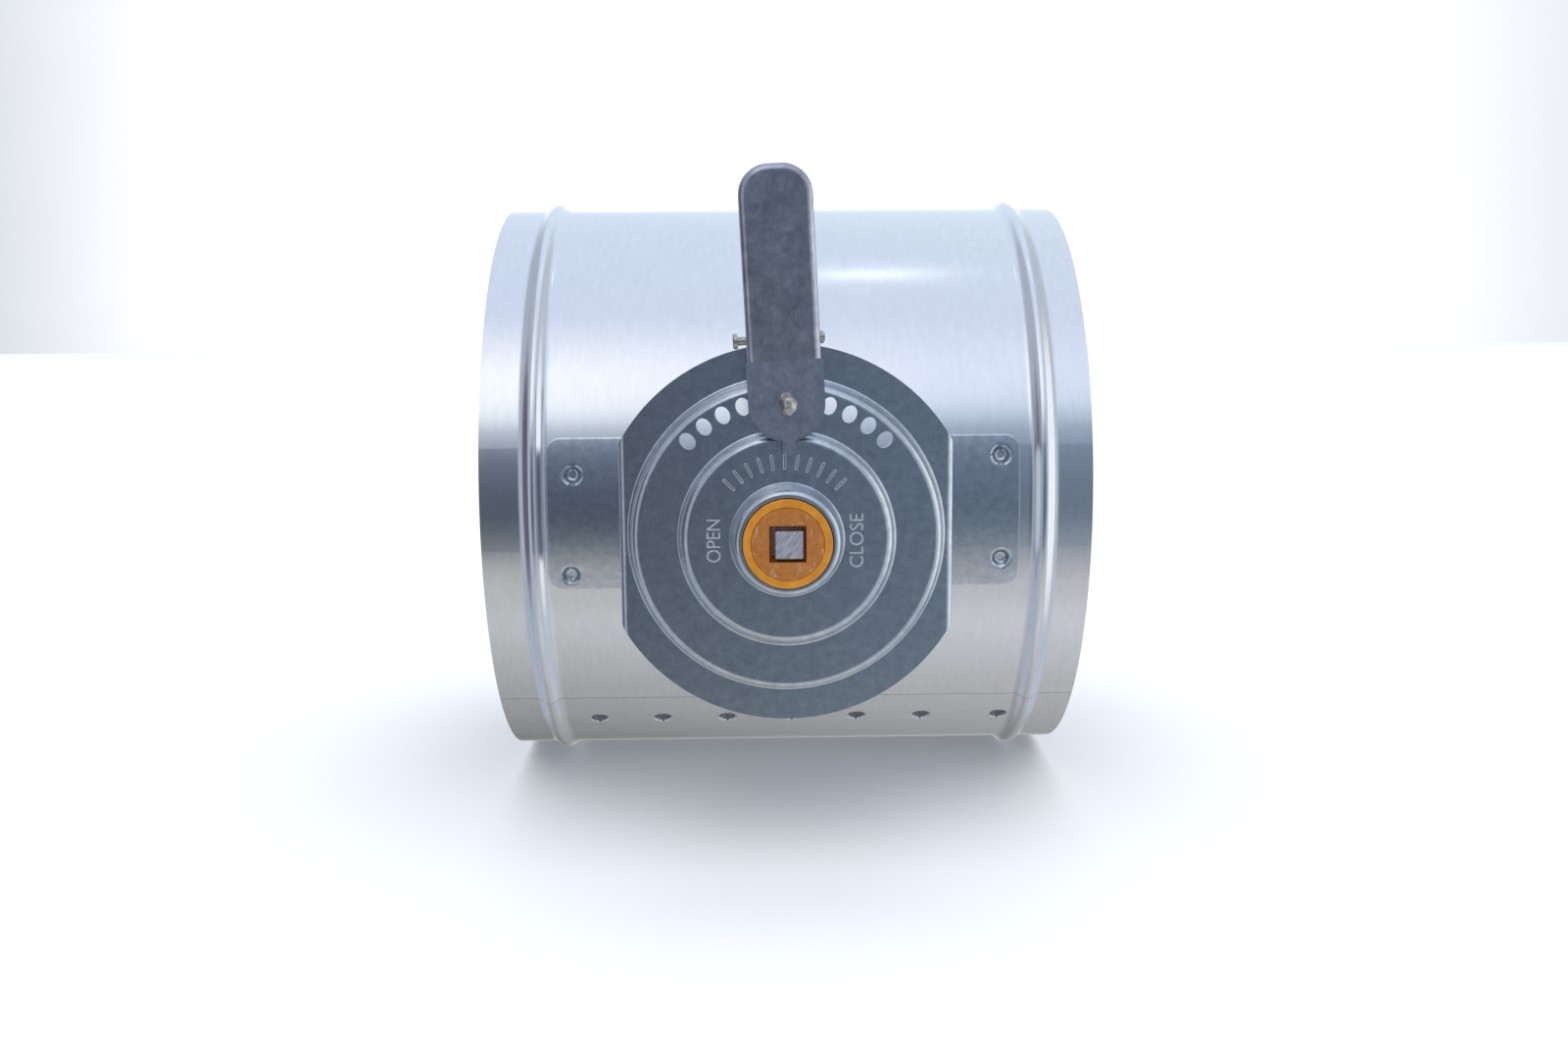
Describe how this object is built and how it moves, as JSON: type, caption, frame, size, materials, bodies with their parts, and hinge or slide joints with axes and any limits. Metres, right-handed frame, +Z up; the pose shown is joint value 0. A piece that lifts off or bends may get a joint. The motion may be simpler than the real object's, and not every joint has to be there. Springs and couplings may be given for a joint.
{
  "type": "round volume control damper",
  "caption": "Round-duct volume control damper: sheet-steel sleeve, pivoting blade on a square shaft, raised quadrant plate and locking lever.",
  "frame": {"origin": "where the blade shaft's axis crosses the duct's axis, 1.1 mm left of the sleeve's mid-length", "axes": "+X along the duct, -Y out of the side with the dial and lever, +Z up"},
  "size_m": [0.195, 0.2686, 0.2059],
  "materials": {
    "galvanised_sheet": "bright galvanised, fine grain",
    "pressed_plate": "galvanised, blue-grey, satin",
    "amber_ring": "moulded nylon, amber",
    "amber_hub": "moulded nylon, amber, rubbed",
    "shaft_steel": "sawn and drawn bar",
    "rivet_aluminium": "bright",
    "plated_lever": "zinc plated, dull, finely scratched",
    "plated_pin": "zinc plated, worn",
    "spring_steel": "oiled spring steel"
  },
  "bodies": {
    "casing": {"duct_sleeve": "galvanised_sheet", "quadrant_plate": "pressed_plate", "dial_bush_ring": "amber_ring", "front_bush_ring": "amber_ring", "rear_bush_ring": "amber_ring"},
    "rotor": {"shaft": "shaft_steel", "damper_blade": "galvanised_sheet", "blade_strap_front": "galvanised_sheet", "blade_strap_rear": "galvanised_sheet", "blade_rivets": "rivet_aluminium", "dial_bush_hub": "amber_hub", "front_bush_hub": "amber_hub", "rear_bush_hub": "amber_hub", "lever_arm": "plated_lever", "arm_lock_washer": "spring_steel", "rear_lock_washer": "spring_steel", "pivot_pin": "plated_pin", "pin_retainer": "plated_pin", "handle_spring": "spring_steel"},
    "handle": {"handle_lever": "plated_lever", "lock_stud": "plated_pin"}
  },
  "joints": [
    {"name": "blade_turn", "type": "hinge", "parent": "casing", "child": "rotor", "pos_m": [0, 0, 0], "axis": [0, 1, 0], "range_deg": [-45, 45]},
    {"name": "handle_lift", "type": "hinge", "parent": "rotor", "child": "handle", "pos_m": [-0.00079, -0.1479, 0.05638], "axis": [-0.9989, 0, -0.0471], "range_deg": [-5.2, 3], "stiffness_Nm_per_rad": 1}
  ]
}
